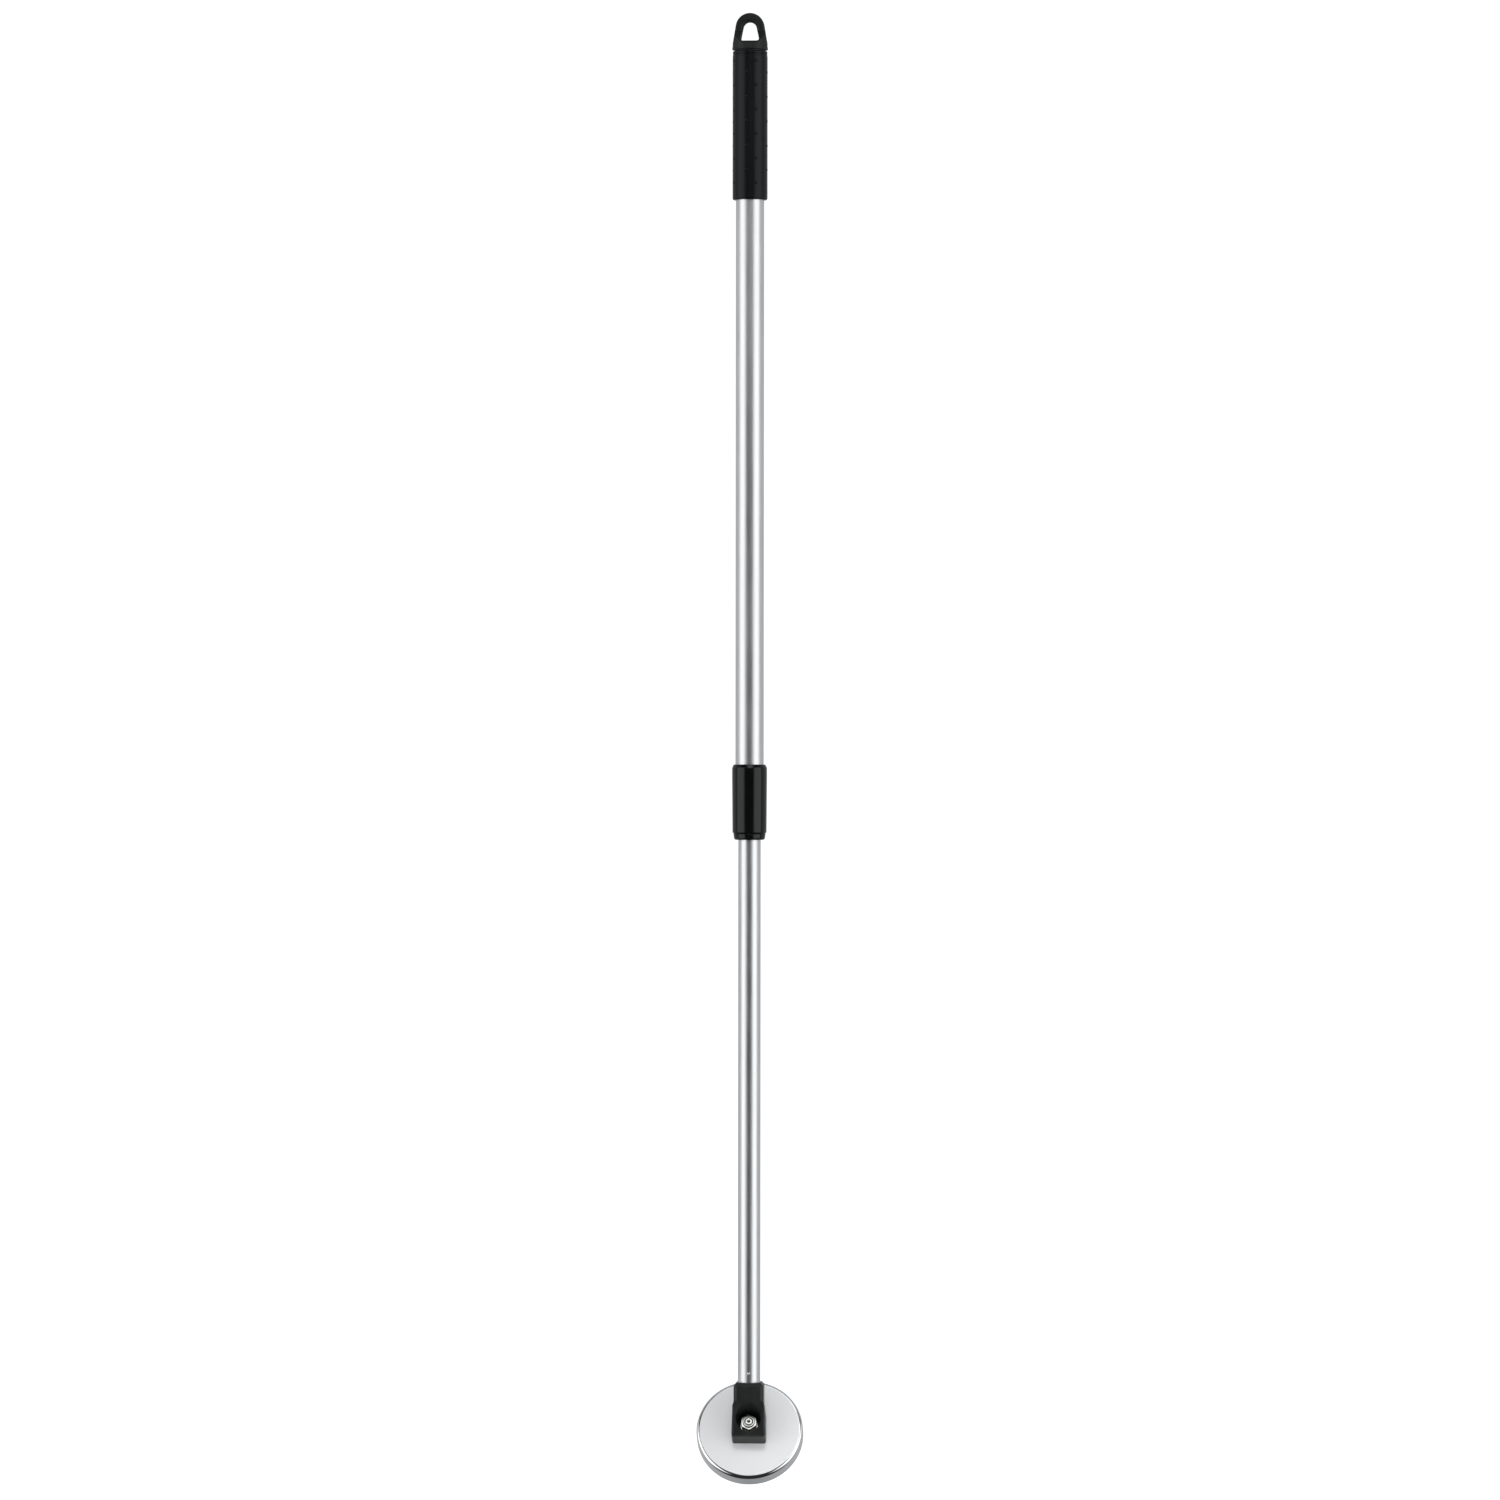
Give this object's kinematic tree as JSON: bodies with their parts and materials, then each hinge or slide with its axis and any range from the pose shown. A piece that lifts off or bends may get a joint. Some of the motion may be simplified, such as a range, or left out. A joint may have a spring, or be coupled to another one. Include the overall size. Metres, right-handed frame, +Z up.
{
  "type": "magnetic pickup tool",
  "caption": "Telescoping aluminium pole with a hanging eye, a nubbed soft grip, a twist-lock collar and a round pot magnet on an angled socket.",
  "frame": {"origin": "where a hook bears in the hanging eye: on the underside of the eye's arch, on the pole's axis", "axes": "+Z up along the pole towards the eye, +Y the way the magnet's working face looks (and down), +X across; the magnet's plated top looks towards -Y and up"},
  "size_m": [0.0736, 0.0475, 1.0149],
  "materials": {
    "cap_plastic": "fine moulded grain",
    "grip_rubber": "smooth satin with raised nubs",
    "tube_aluminium": "satin, drawn lengthwise",
    "collar_plastic": "moulded gloss",
    "lock_plastic": "natural nylon",
    "ring_rubber": "matte",
    "zinc_steel": "bright zinc",
    "bracket_plastic": "glass-filled nylon, fine grain",
    "nut_nylon": "natural nylon",
    "cup_chrome": "bright plated",
    "ferrite": "ground ceramic magnet",
    "pole_steel": "ground",
    "resin": "poured resin"
  },
  "bodies": {
    "handle": {"hang_cap": "cap_plastic", "grip_sleeve": "grip_rubber", "upper_tube": "tube_aluminium", "collar": "collar_plastic", "guide_bush": "collar_plastic"},
    "expander": {"expander_sleeve": "lock_plastic", "drag_ring": "ring_rubber"},
    "cone": {"cone_nut": "lock_plastic"},
    "lower": {"lower_tube": "tube_aluminium", "lock_plug": "lock_plastic", "plug_pin": "zinc_steel", "lock_stud": "zinc_steel", "thrust_washer": "zinc_steel", "stud_clip": "zinc_steel", "bracket": "bracket_plastic", "bracket_screw": "zinc_steel", "head_bolt": "zinc_steel", "head_washer": "zinc_steel", "lock_nut": "zinc_steel", "nylon_insert": "nut_nylon", "magnet_cup": "cup_chrome", "ring_magnet": "ferrite", "pole_piece": "pole_steel", "potting_rings": "resin"}
  },
  "joints": [
    {"name": "telescope_slide", "type": "slide", "parent": "handle", "child": "expander", "axis": [0, 0, 1], "range_m": [0, 0.37]},
    {"name": "twist_lock", "type": "hinge", "parent": "expander", "child": "lower", "pos_m": [0, 0, -0.5], "axis": [0, 0, 1], "range_deg": [0, 180]},
    {"name": "cone_travel", "type": "slide", "parent": "expander", "child": "cone", "axis": [0, 0, 1], "range_m": [0, 0.0015]}
  ],
  "couplings": [
    {"joint": "cone_travel", "follows": "twist_lock", "m_per_rad": 0.000477}
  ]
}
